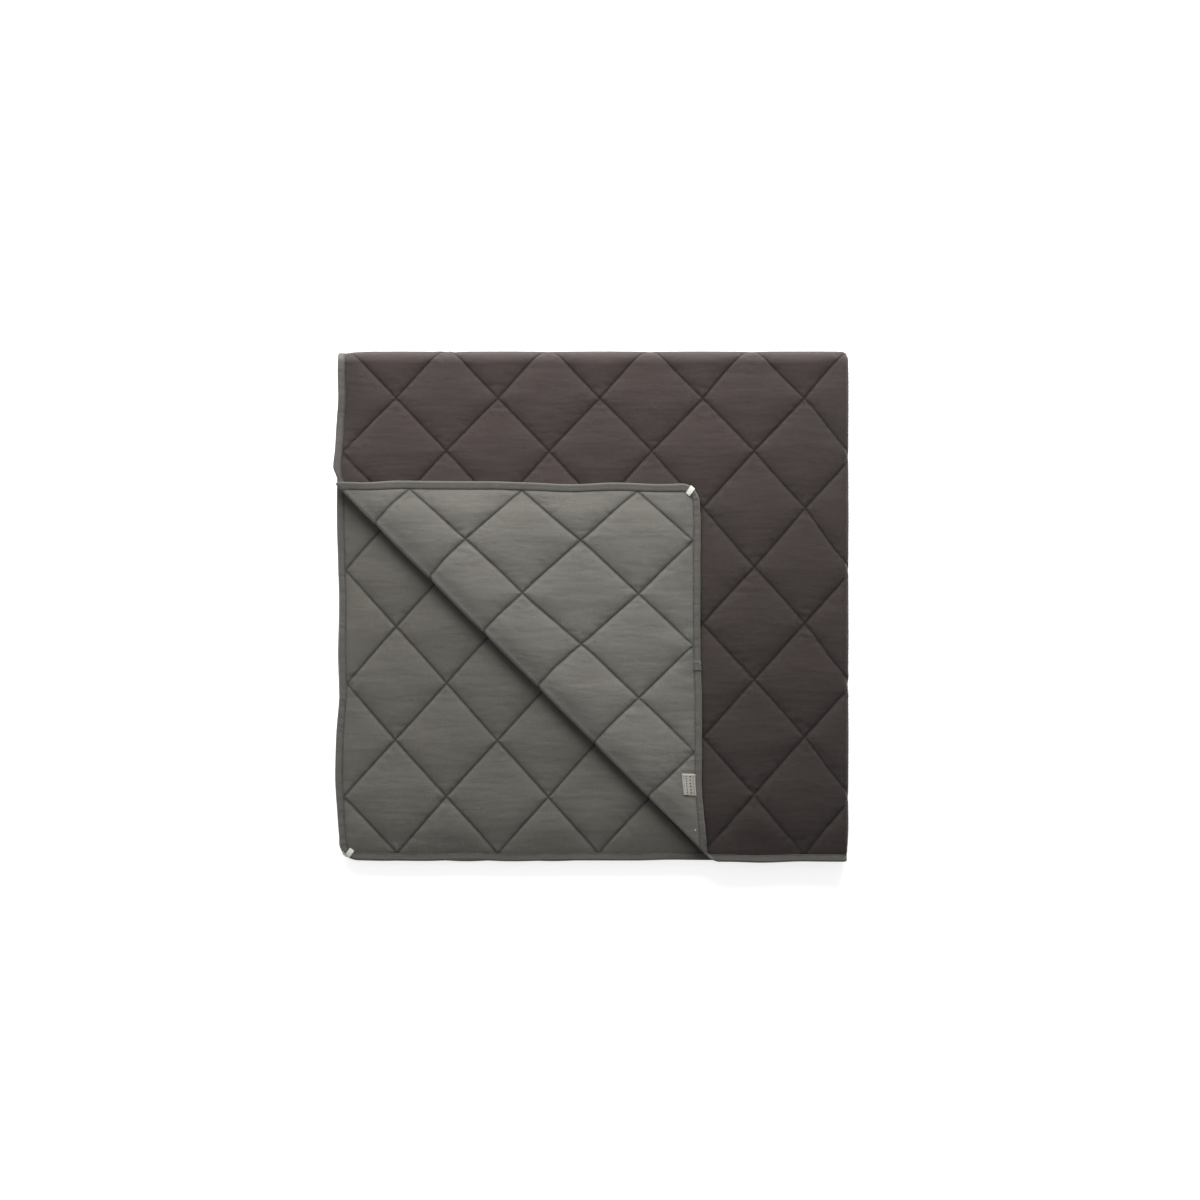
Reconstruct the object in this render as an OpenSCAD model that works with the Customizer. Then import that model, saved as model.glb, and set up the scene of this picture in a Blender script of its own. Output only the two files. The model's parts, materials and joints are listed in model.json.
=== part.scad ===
// Camp blanket: a square, diamond-quilted blanket folded in four, with one corner turned back.
// Its free edges are at the left (-X) and the front (-Y), its side folds at the right and its
// nested end folds at the back. The origin is the centre of the plan, on the ground.

/* [Blanket] */
// Plan size of the square blanket once it is folded in four
folded = 750; // [650:10:900]
// Thickness of one quilted layer where it is fullest
loft = 9; // [7:0.5:12]
// Free gap between one layer and the next
layer_gap = 1; // [0.8:0.1:2]
// Thickness of the face cloth and of the lining cloth
cloth_t = 0.4; // [0.2:0.1:0.6]
// Width over which a layer thins towards its bound edges
taper = 45; // [30:5:80]

/* [Quilting] */
// Diamonds across the whole open blanket
diamonds_across = 10; // [6:1:16]
// Diamonds down the whole open blanket
diamonds_down = 9; // [5:2:15]
// Width of a stitched thread line
thread_w = 0.8; // [0.6:0.1:1.5]
// Height that a thread stands above the cloth
thread_h = 0.3; // [0.2:0.1:0.3]

/* [Binding] */
// Width of the binding on each side of the edge
binding_w = 11; // [9:1:14]
// Thickness of the bound edge
binding_t = 4; // [3.5:0.5:5]
// Thickness of the folded binding tape
tape_t = 0.8; // [0.5:0.1:1]
// Radius of the blanket's corners
corner_r = 28; // [20:1:36]
// Distance from the turned-back corner to the join of the tape
join_at = 267; // [150:1:330]
// Length of the tape's overlap at the join
join_len = 14; // [8:1:24]

/* [Turned-back corner] */
// Length of each short side of the corner that is turned back
flap_leg = 558; // [480:2:600]
// Half of the slit that the crease leaves beside each layer
crease_gap = 0.5; // [0.3:0.1:1]

/* [Corner loops] */
// Width of the loop tape
loop_w = 8; // [6:0.5:12]
// Thickness of the loop tape
loop_t = 0.7; // [0.5:0.1:1]
// Direction of the loop at the rounded corner, from the left edge round to the front
loop_angle = 34; // [15:1:75]

/* [Label] */
// Width of the woven label, out from its seam
label_w = 20; // [10:1:30]
// Length of the woven label, along its seam
label_len = 33; // [20:1:40]
// Thickness of the folded label
label_t = 0.6; // [0.4:0.1:0.6]
// Distance from the turned-back corner to the label's middle
label_at = 440; // [420:5:460]

/* [Hidden] */
$fn = 64;
big = 2000;
half = folded / 2;
layer_pitch = loft + layer_gap;
pair_t = 2 * loft + layer_gap;
stack_t = 4 * loft + 3 * layer_gap;
fold_r = layer_pitch / 2;           // middle radius of a fold between two neighbouring layers
wrap_r = fold_r + layer_pitch;      // middle radius of the end fold round all four layers
side_x = half - pair_t / 2;         // axis of the side folds
end_y = half - stack_t / 2;         // axis of the end folds, which is the opening hinge
start = -half + binding_w;          // inner edge of the binding
half_b = binding_t / 2;
inner_b = half_b - tape_t;
loop_room = half_b + thread_h;      // inner radius of a corner loop's bend
root2 = sqrt(2);
flap_c = flap_leg - folded;         // the crease is the line x + y = flap_c
crease_z = 4 * layer_pitch - layer_gap / 2;
crease_cloth = PI * fold_r;         // length of cloth that the crease takes up
crease_half = flap_leg / root2 - crease_cloth;
crease_from = binding_w - crease_half / root2;
lap = 0.01;                         // how far shapes that join run into each other
// The grid reaches the middle of each fold, measured round the outside of the cloth.
quilt_x = (side_x - start + PI / 2 * (fold_r + loft / 2)) / diamonds_across;
quilt_y = (end_y - start + PI / 2 * (wrap_r + loft / 2)) / diamonds_down;

FACE = "#4a4140";
LINING = "#77756f";
WADDING = "#e8e6df";
TAPE = "#66655f";
FACE_THREAD = "#2a2523";
LINING_THREAD = "#45443f";
LOOP = "#d2d0c9";
LABEL = "#c0beb3";

function layer_z(level) = loft / 2 + level * layer_pitch;

// Half thickness of a layer at its binding and at its fullest, less a depth below its surface.
function edge_half(depth) = half_b - depth;
function full_half(depth) = loft / 2 - depth;

// Half of a layer's cross-section, from its binding at `from` to a fold at `to`, as
// [along, out] points: the band between two depths on one side of the middle plane.
function band(from, to, depth, inner, side = 1) = [
    [from, side * edge_half(depth)], [from + taper, side * full_half(depth)],
    [to, side * full_half(depth)], [to, side * full_half(inner)],
    [from + taper, side * full_half(inner)], [from, side * edge_half(inner)]
];
// The whole cross-section, running past both ends by `over`.
function section(from, to, depth, over = 0) = [
    [from - over, -edge_half(depth)], [from, -edge_half(depth)],
    [from + taper, -full_half(depth)], [to + over, -full_half(depth)],
    [to + over, full_half(depth)], [from + taper, full_half(depth)],
    [from, edge_half(depth)], [from - over, edge_half(depth)]
];
// [along, out] points turned into [radius, along] points for a fold of a given radius.
function round_fold(points, radius, way = 1) = [for (p = points) [radius + p[1], way * p[0]]];

// The quarter of the blanket in plan, set in from its free edges, with its rounded free corner.
module quarter(inset) {
    r = corner_r - inset;
    edge = -half + inset;
    difference() {
        translate([edge, edge]) square([side_x - edge, end_y - edge]);
        difference() {
            translate([edge - 1, edge - 1]) square(r + 1);
            translate([edge + r, edge + r]) circle(r);
        }
    }
}

// A layer's padded body about its own middle plane, `depth` below its surface.
module padded(depth, over = 0) {
    intersection() {
        translate([0, end_y + over, 0]) rotate([90, 0, 0])
            linear_extrude(end_y - start + 2 * over) polygon(section(start, side_x, depth, over));
        translate([start - over, 0, 0]) rotate([90, 0, 90])
            linear_extrude(side_x - start + 2 * over) polygon(section(start, end_y, depth, over));
    }
}

// One side of a shell between two depths, cut to an outline: side is 1 above, -1 below.
module shell(depth, inner, side) {
    difference() {
        intersection() {
            padded(depth);
            translate([0, 0, side > 0 ? 0 : -loft]) linear_extrude(loft) children();
        }
        padded(inner, 1);
    }
}

// The wadding, with the flat seam allowance that runs into the binding.
module core() {
    intersection() {
        padded(cloth_t);
        translate([0, 0, -loft]) linear_extrude(2 * loft) quarter(binding_w);
    }
    translate([0, 0, -inner_b]) linear_extrude(2 * inner_b) difference() {
        quarter(tape_t);
        quarter(binding_w + 0.5);
    }
}

// The folded tape round a layer's free edges.
module tape_band() {
    difference() {
        translate([0, 0, -half_b]) linear_extrude(binding_t) difference() {
            quarter(0);
            quarter(binding_w);
        }
        translate([0, 0, -inner_b]) linear_extrude(2 * inner_b) difference() {
            quarter(tape_t);
            quarter(binding_w + 1);
        }
    }
}

// The rows of stitching on both sides of the bound edge.
module tape_stitching() {
    for (side = [-1, 1])
        translate([0, 0, side > 0 ? half_b : -half_b - thread_h]) linear_extrude(thread_h)
            difference() {
                quarter(binding_w - 1.5 - thread_w);
                quarter(binding_w - 1.5);
            }
}

// One line of the diamond stitching in plan, from a point of the quilting grid.
module quilt_line(column, row, way) {
    run = norm([quilt_x, quilt_y]) * (diamonds_across + diamonds_down);
    lean = atan2(quilt_y, quilt_x);
    translate([start + column * quilt_x, start + row * quilt_y])
        rotate(way > 0 ? lean : 180 - lean)
            translate([0, -thread_w / 2]) square([run, thread_w]);
}

// The whole grid of one layer: lines leave every other point of the two bound edges.
module quilt_lines() {
    for (column = [1 : 2 : diamonds_across + diamonds_down]) {
        quilt_line(column, 0, -1);
        if (column < diamonds_across) quilt_line(column, 0, 1);
    }
    for (row = [1 : 2 : diamonds_down - 1]) quilt_line(0, row, 1);
}

// The quilting thread on the sides given: it lies on the cloth and follows its thinning edges.
module quilting(sides) {
    for (side = sides)
        shell(-thread_h, 0, side) intersection() {
            quarter(binding_w);
            quilt_lines();
        }
}

// A tape loop round the bound corner, in its own plane.
module loop() {
    outer = loop_room + loop_t;
    translate([-half + corner_r, -half + corner_r, 0]) rotate([0, 0, 180 + loop_angle])
        translate([0, loop_w / 2, 0]) rotate([90, 0, 0]) linear_extrude(loop_w) {
            for (side = [-1, 1])
                translate([corner_r - binding_w, side > 0 ? loop_room : -outer])
                    square([binding_w, loop_t]);
            translate([corner_r, 0]) intersection() {
                difference() {
                    circle(outer);
                    circle(loop_room);
                }
                translate([0, -outer]) square(2 * outer);
            }
        }
}

module at_level(level) {
    translate([0, 0, layer_z(level)]) children();
}

// What lies on one side of the upright plane through the crease, `side` 1 for the layer itself.
module beside_crease(side) {
    intersection() {
        children();
        translate([flap_c / 2, flap_c / 2, -big / 2]) rotate([0, 0, 45])
            translate([side > 0 ? crease_gap : -big - crease_gap, -big / 2, 0])
                cube([big, big, big]);
    }
}

// The corner of the top layer, drawn on the layer's own middle plane and turned over the crease.
module turned_back() {
    slip = crease_cloth / root2;
    translate([flap_c / 2, flap_c / 2, layer_z(4)]) rotate([0, 0, 45])
        mirror([1, 0, 0]) mirror([0, 0, 1]) rotate([0, 0, -45])
            translate([-flap_c / 2, -flap_c / 2, 0])
                beside_crease(-1) translate([slip, slip, 0]) children();
}

// A half turn about the side fold of a pair of layers, drawn as [radius, -y].
module round_side(level) {
    translate([side_x, 0, layer_z(level) + fold_r]) rotate([90, 0, 0]) rotate([0, 0, -90])
        rotate_extrude(angle = 180) children();
}

// A half turn about the opening hinge, drawn as [radius, x].
module round_end() {
    translate([0, end_y, stack_t / 2]) rotate([90, 0, 90]) rotate([0, 0, -90])
        rotate_extrude(angle = 180) children();
}

// A half turn about the crease, on the corner's side, drawn as [radius, along].
module round_crease() {
    translate([flap_c / 2, flap_c / 2, crease_z]) rotate([0, 0, 135]) rotate([90, 0, 90])
        rotate([0, 0, -90]) rotate_extrude(angle = 180) children();
}

// The half ring where a side fold runs on round the end fold, in [radius, x].
module doubled_corner(inner, outer) {
    translate([layer_pitch, side_x]) intersection() {
        difference() {
            circle(outer);
            circle(inner);
        }
        translate([-outer, 0]) square(2 * outer);
    }
}

// Tape folded round an edge, as a [radius, along] section: the edge faces -along.
module tape_section(radius, edge, width, wall) {
    difference() {
        translate([radius - half_b, edge]) square([binding_t, width]);
        translate([radius - inner_b, edge + wall]) square([2 * inner_b, width]);
    }
}

// The seam allowance inside such a tape.
module allowance_section(radius, edge, width, wall) {
    translate([radius - inner_b, edge + wall]) square([2 * inner_b, width - wall + 0.01]);
}

// The pieces of one flat layer. Even layers lie with their face cloth down, odd ones with it up.
module face_cloth(level) {
    at_level(level) shell(0, cloth_t, level % 2 == 0 ? -1 : 1) quarter(binding_w);
}
module lining(level) {
    at_level(level) shell(0, cloth_t, level % 2 == 0 ? 1 : -1) quarter(binding_w);
}

module bottom_face_cloth() { color(FACE) face_cloth(0); }
module bottom_wadding() { color(WADDING) at_level(0) core(); }
module bottom_lining() { color(LINING) lining(0); }
module bottom_binding() { color(TAPE) at_level(0) tape_band(); }
// On the ground side the thread is pressed flush into the cloth, so only its upper side is drawn.
module bottom_quilting_thread() { color(LINING_THREAD) at_level(0) quilting([1]); }
module bottom_binding_stitching() { color(LINING_THREAD) at_level(0) tape_stitching(); }
module bottom_corner_loop() { color(LOOP) at_level(0) loop(); }

module third_face_cloth() { color(FACE) face_cloth(1); }
module third_wadding() { color(WADDING) at_level(1) core(); }
module third_lining() { color(LINING) lining(1); }
module third_binding() { color(TAPE) at_level(1) tape_band(); }
module third_quilting_thread() { color(FACE_THREAD) at_level(1) quilting([-1, 1]); }
module third_binding_stitching() { color(LINING_THREAD) at_level(1) tape_stitching(); }
module third_corner_loop() { color(LOOP) at_level(1) loop(); }

module second_face_cloth() { color(FACE) face_cloth(2); }
module second_wadding() { color(WADDING) at_level(2) core(); }
module second_lining() { color(LINING) lining(2); }
module second_binding() { color(TAPE) at_level(2) tape_band(); }
module second_quilting_thread() { color(LINING_THREAD) at_level(2) quilting([-1, 1]); }
module second_binding_stitching() { color(LINING_THREAD) at_level(2) tape_stitching(); }
module second_corner_loop() { color(LOOP) at_level(2) loop(); }

// The top layer, up to the crease.
module top_face_cloth() { color(FACE) beside_crease(1) face_cloth(3); }
module top_wadding() { color(WADDING) beside_crease(1) at_level(3) core(); }
module top_lining() { color(LINING) beside_crease(1) lining(3); }
module top_left_binding() {
    color(TAPE) intersection() {
        beside_crease(1) at_level(3) tape_band();
        translate([-big / 2, flap_c / 2, 0]) cube([big, big, big]);
    }
}
module top_front_binding() {
    color(TAPE) intersection() {
        beside_crease(1) at_level(3) tape_band();
        translate([-big / 2, flap_c / 2 - big, 0]) cube([big, big, big]);
    }
}
module top_quilting_thread() { color(FACE_THREAD) beside_crease(1) at_level(3) quilting([-1, 1]); }
module top_binding_stitching() { color(LINING_THREAD) beside_crease(1) at_level(3) tape_stitching(); }

// The top layer's corner, turned back so that its lining shows.
module flap_face_cloth() { color(FACE) turned_back() shell(0, cloth_t, 1) quarter(binding_w); }
module flap_wadding() { color(WADDING) turned_back() core(); }
module flap_lining() { color(LINING) turned_back() shell(0, cloth_t, -1) quarter(binding_w); }
module flap_binding() { color(TAPE) turned_back() tape_band(); }
module flap_quilting_thread() { color(LINING_THREAD) turned_back() quilting([-1, 1]); }
module flap_binding_stitching() { color(LINING_THREAD) turned_back() tape_stitching(); }
module flap_corner_loop() { color(LOOP) turned_back() loop(); }

// The overlapped ends of the binding tape, lying on its stitching.
module binding_join() {
    clear = half_b + thread_h;
    color(TAPE) turned_back()
        translate([-half + join_at - join_len / 2, -half, 0]) rotate([90, 0, 90])
            linear_extrude(join_len) difference() {
                translate([-thread_h - tape_t, -clear - tape_t])
                    square([binding_w + thread_h + tape_t, 2 * (clear + tape_t)]);
                translate([-thread_h, -clear]) square([2 * binding_w, 2 * clear]);
            }
}

// The label is sewn down along the binding, on the lining side.
module woven_label() {
    color(LABEL) turned_back() shell(-label_t, 0, -1)
        translate([-half + label_at - label_len / 2, start]) square([label_len, label_w]);
}
module label_seam() {
    color(LINING_THREAD) turned_back() shell(-label_t - thread_h, -label_t, -1)
        translate([-half + label_at - label_len / 2 + 2, start + 1.5])
            square([label_len - 4, thread_w]);
}

// The side folds, each joining a pair of layers with the face cloth outside.
module side_fold_face_cloth(level) {
    round_side(level) mirror([0, 1])
        polygon(round_fold(band(start, end_y, 0, cloth_t, 1), fold_r));
}
module side_fold_wadding(level) {
    round_side(level) mirror([0, 1]) {
        polygon(round_fold(section(start, end_y, cloth_t), fold_r));
        allowance_section(fold_r, -half, binding_w, tape_t);
    }
}
module side_fold_lining(level) {
    round_side(level) mirror([0, 1])
        polygon(round_fold(band(start, end_y, 0, cloth_t, -1), fold_r));
}
module side_fold_binding(level) {
    round_side(level) mirror([0, 1]) tape_section(fold_r, -half, binding_w, tape_t);
}
module lower_side_fold_face_cloth() { color(FACE) side_fold_face_cloth(0); }
module lower_side_fold_wadding() { color(WADDING) side_fold_wadding(0); }
module lower_side_fold_lining() { color(LINING) side_fold_lining(0); }
module lower_side_fold_binding() { color(TAPE) side_fold_binding(0); }
module upper_side_fold_face_cloth() { color(FACE) side_fold_face_cloth(2); }
module upper_side_fold_wadding() { color(WADDING) side_fold_wadding(2); }
module upper_side_fold_lining() { color(LINING) side_fold_lining(2); }
module upper_side_fold_binding() { color(TAPE) side_fold_binding(2); }

// The end folds: the doubled blanket turned over on itself, two layers round two.
module end_fold_face_cloth() {
    color(FACE) round_end() {
        polygon(round_fold(band(start, side_x + lap, 0, cloth_t, 1), wrap_r));
        polygon(round_fold(band(start, side_x + lap, 0, cloth_t, -1), fold_r));
        doubled_corner(fold_r + full_half(cloth_t), fold_r + full_half(0));
    }
}
module end_fold_wadding() {
    color(WADDING) round_end() {
        for (r = [wrap_r, fold_r]) {
            polygon(round_fold(section(start, side_x, cloth_t, lap), r));
            allowance_section(r, -half, binding_w, tape_t);
        }
        doubled_corner(fold_r - full_half(cloth_t), fold_r + full_half(cloth_t));
    }
}
module end_fold_lining() {
    color(LINING) round_end() {
        polygon(round_fold(band(start, side_x + lap, 0, cloth_t, -1), wrap_r));
        polygon(round_fold(band(start, side_x + lap, 0, cloth_t, 1), fold_r));
        doubled_corner(fold_r - full_half(0), fold_r - full_half(cloth_t));
    }
}
module end_fold_outer_binding() {
    color(TAPE) round_end() tape_section(wrap_r, -half, binding_w, tape_t);
}
module end_fold_inner_binding() {
    color(TAPE) round_end() tape_section(fold_r, -half, binding_w, tape_t);
}

// The roll of the turned-back corner, with the lining outside. Its edges meet the crease at 45
// degrees, so widths along it are longer by the square root of two.
module corner_fold_band(side) {
    for (end = [0, 1])
        mirror([0, end])
            polygon(round_fold(band(crease_from, lap, 0, cloth_t, side), fold_r, root2));
}
module corner_fold_face_cloth() { color(FACE) round_crease() corner_fold_band(-1); }
module corner_fold_lining() { color(LINING) round_crease() corner_fold_band(1); }
module corner_fold_wadding() {
    color(WADDING) round_crease()
        for (end = [0, 1])
            mirror([0, end]) {
                polygon(round_fold(section(crease_from, 0, cloth_t, lap), fold_r, root2));
                allowance_section(fold_r, -crease_half, binding_w * root2, tape_t * root2);
            }
}
module corner_fold_left_binding() {
    color(TAPE) round_crease() mirror([0, 1])
        tape_section(fold_r, -crease_half, binding_w * root2, tape_t * root2);
}
module corner_fold_front_binding() {
    color(TAPE) round_crease()
        tape_section(fold_r, -crease_half, binding_w * root2, tape_t * root2);
}

bottom_face_cloth();
bottom_wadding();
bottom_lining();
bottom_binding();
bottom_quilting_thread();
bottom_binding_stitching();
bottom_corner_loop();
third_face_cloth();
third_wadding();
third_lining();
third_binding();
third_quilting_thread();
third_binding_stitching();
third_corner_loop();
second_face_cloth();
second_wadding();
second_lining();
second_binding();
second_quilting_thread();
second_binding_stitching();
second_corner_loop();
top_face_cloth();
top_wadding();
top_lining();
top_left_binding();
top_front_binding();
top_quilting_thread();
top_binding_stitching();
flap_face_cloth();
flap_wadding();
flap_lining();
flap_binding();
flap_quilting_thread();
flap_binding_stitching();
flap_corner_loop();
binding_join();
woven_label();
label_seam();
lower_side_fold_face_cloth();
lower_side_fold_wadding();
lower_side_fold_lining();
lower_side_fold_binding();
upper_side_fold_face_cloth();
upper_side_fold_wadding();
upper_side_fold_lining();
upper_side_fold_binding();
end_fold_face_cloth();
end_fold_wadding();
end_fold_lining();
end_fold_outer_binding();
end_fold_inner_binding();
corner_fold_face_cloth();
corner_fold_wadding();
corner_fold_lining();
corner_fold_left_binding();
corner_fold_front_binding();
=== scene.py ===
import json
import math

import bmesh
import bpy
import numpy as np
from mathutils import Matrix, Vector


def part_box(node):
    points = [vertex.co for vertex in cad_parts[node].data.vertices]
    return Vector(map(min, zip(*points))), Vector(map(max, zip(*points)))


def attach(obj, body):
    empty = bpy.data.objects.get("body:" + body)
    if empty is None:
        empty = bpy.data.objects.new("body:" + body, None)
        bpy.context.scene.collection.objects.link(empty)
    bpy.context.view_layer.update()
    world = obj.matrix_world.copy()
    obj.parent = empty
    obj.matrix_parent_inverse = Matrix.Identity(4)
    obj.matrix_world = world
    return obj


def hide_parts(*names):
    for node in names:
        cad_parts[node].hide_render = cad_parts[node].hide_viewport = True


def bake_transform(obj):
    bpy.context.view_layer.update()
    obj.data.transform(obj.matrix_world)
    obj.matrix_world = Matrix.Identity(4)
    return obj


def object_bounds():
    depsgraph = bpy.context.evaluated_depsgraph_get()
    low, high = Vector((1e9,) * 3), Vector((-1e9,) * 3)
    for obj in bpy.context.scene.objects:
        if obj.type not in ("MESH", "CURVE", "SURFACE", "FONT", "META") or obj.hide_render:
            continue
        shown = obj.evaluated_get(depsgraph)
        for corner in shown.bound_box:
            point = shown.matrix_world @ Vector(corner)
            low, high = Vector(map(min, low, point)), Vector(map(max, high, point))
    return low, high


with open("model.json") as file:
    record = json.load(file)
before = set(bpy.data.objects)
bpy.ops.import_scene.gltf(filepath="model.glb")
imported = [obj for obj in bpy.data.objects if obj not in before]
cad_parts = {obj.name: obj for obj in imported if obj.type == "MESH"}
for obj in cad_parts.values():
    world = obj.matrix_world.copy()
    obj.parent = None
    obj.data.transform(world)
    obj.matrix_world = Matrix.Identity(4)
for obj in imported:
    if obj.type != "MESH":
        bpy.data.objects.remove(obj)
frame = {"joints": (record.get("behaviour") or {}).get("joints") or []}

# A camp blanket folded in four, with one corner turned back. Every piece is first laid out on
# the open blanket, in millimetres, with g out of its plane towards the face cloth. fold() then
# puts it where it lies. The folded layers are numbered from the top: 1 and 2 are the upper half
# and 3 and 4 the lower half, each with a side fold at the right. The end fold joins the halves at
# the back, and 0 is the turned corner. A side is 0 for the face cloth and 1 for the lining.

CAD_BOX = [list(v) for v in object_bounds()]
MM = 0.001

# ---- Camera and light, in metres ----

CAMERA_X, CAMERA_Y = 0.010, 0.009
CAMERA_RISE = 4.14  # above the blanket's top

scene = bpy.context.scene
scene.view_settings.view_transform = "Standard"
scene.view_settings.look = "None"

camera = bpy.data.objects.new("Camera", bpy.data.cameras.new("Camera"))
camera.data.lens = 85
camera.data.sensor_width = 36
camera.location = (CAMERA_X, CAMERA_Y, CAD_BOX[1][2] + CAMERA_RISE)
scene.collection.objects.link(camera)
scene.camera = camera


def set_inputs(node, **values):
    for key, value in values.items():
        node.inputs[key.replace("_", " ")].default_value = value


def area_light(name, place, target, size, power, colour):
    data = bpy.data.lights.new(name, "AREA")
    data.shape = "DISK"
    data.size = size
    data.energy = power
    data.color = colour
    light = bpy.data.objects.new(name, data)
    light.location = place
    way = Vector(target) - Vector(place)
    light.rotation_euler = way.to_track_quat("-Z", "Y").to_euler()
    light.visible_camera = False
    scene.collection.objects.link(light)


# The key stands low behind the blanket's far edge, so the near side of each diamond is in shade.
area_light("Key", place=(-0.10, 2.30, 1.07), target=(0.0, 0.05, 0), size=2.35, power=185,
           colour=(1.0, 0.985, 0.97))
area_light("Fill", place=(-0.9, 0.2, 2.6), target=(0, 0, 0), size=2.2, power=5, colour=(1, 1, 1))
world = bpy.data.worlds.new("World")
world.use_nodes = True
set_inputs(world.node_tree.nodes["Background"], Color=(1, 1, 1, 1), Strength=0.33)
scene.world = world

# ---- Sizes, from the frame, in millimetres ----

joints = {j["name"]: j for j in frame["joints"]}
low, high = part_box("bottom_binding")
HALF = -low.x / MM  # half the folded blanket's width
SIDE_X = high.x / MM  # where the side folds begin to bend
END_Y, HINGE_Z = (joints["open_half"]["pos_m"][i] / MM for i in (1, 2))
CREASE_X, CREASE_Z = (joints["corner_turn"]["pos_m"][i] / MM for i in (0, 2))
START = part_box("bottom_face_cloth")[0].x / MM  # where the quilting begins
BIND = START + HALF  # the binding's width
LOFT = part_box("bottom_lining")[1].z / MM  # a layer's thickness
PITCH = LOFT + 1  # from one layer to the next
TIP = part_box("flap_binding")[1].x / MM  # the turned corner's right edge
CORNER_R = 28.0  # the blanket's rounded corners
MIDDLE = {layer: LOFT / 2 + k * PITCH for k, layer in enumerate((4, 3, 2, 1, 0))}
STITCH_H, FULL_H = 1.1, 4.5  # the cloth's height at a stitch line and where it is puffed up

# The cloth reaches X10 at the middle of the side folds and Y9 at the middle of the end fold, ten
# and nine steps of the quilting from the binding. Stitch lines run where u or v is odd, with
# u = c + r and v = c - r, and c and r counting the steps across and down.
X10 = SIDE_X + math.pi / 2 * (PITCH / 2 + LOFT / 2)
Y9 = END_Y + math.pi / 2 * (PITCH * 1.5 + LOFT / 2)
QX = (X10 - START) / 10
QY = (Y9 - START) / 9
LINE_GAP = 55.5  # millimetres across the stitch lines, for one step of u or v
OPEN_X, OPEN_Y = 2 * X10 + HALF, 2 * Y9 + HALF

# The turned corner is rolled over between the lines x + y = CREASE_SUM and x + y = FLAP_SUM.
CREASE_SUM = 2 * CREASE_X
FLAP_SUM = 2 * (TIP - CREASE_X) - 2 * HALF
CREASE_LIFT = -2.0  # how far the turned corner lies from its even place at the roll
CREASE_ARCH = 4.0  # how much it rises just beyond the roll
CREASE_THIN = 0.5  # share of a layer's thickness that is left at the crease
ROOT2 = math.sqrt(2)

# ---- Small helpers ----


def smooth(t):
    t = np.clip(t, 0, 1)
    return t * t * (3 - 2 * t)


def unit(vectors):
    return vectors / np.linalg.norm(vectors, axis=1, keepdims=True)


def noise1(t, seed):
    """Smooth noise along a line, from -1 to 1."""
    table = np.random.default_rng(seed).uniform(-1, 1, 1024)
    i = np.floor(t).astype(int)
    f = smooth(t - i)
    return table[i % 1024] * (1 - f) + table[(i + 1) % 1024] * f


def noise2(x, y, seed):
    """Smooth noise over a plane, from -1 to 1."""
    table = np.random.default_rng(seed).uniform(-1, 1, (64, 64))
    i, j = np.floor(x).astype(int), np.floor(y).astype(int)
    f, g = smooth(x - i), smooth(y - j)
    a, b = table[i % 64, j % 64], table[(i + 1) % 64, j % 64]
    c, d = table[i % 64, (j + 1) % 64], table[(i + 1) % 64, (j + 1) % 64]
    return (a * (1 - f) + b * f) * (1 - g) + (c * (1 - f) + d * f) * g


# ---- How the quilted cloth puffs up between its stitch lines ----

CELLS = 16  # points of the puff's grid to one step of the quilting
COLS, ROWS = 11, 10
SIM_UNITS = 100  # millimetres to one unit: the simulation works at ten times the real size
SIM_FRAMES = 20


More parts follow.
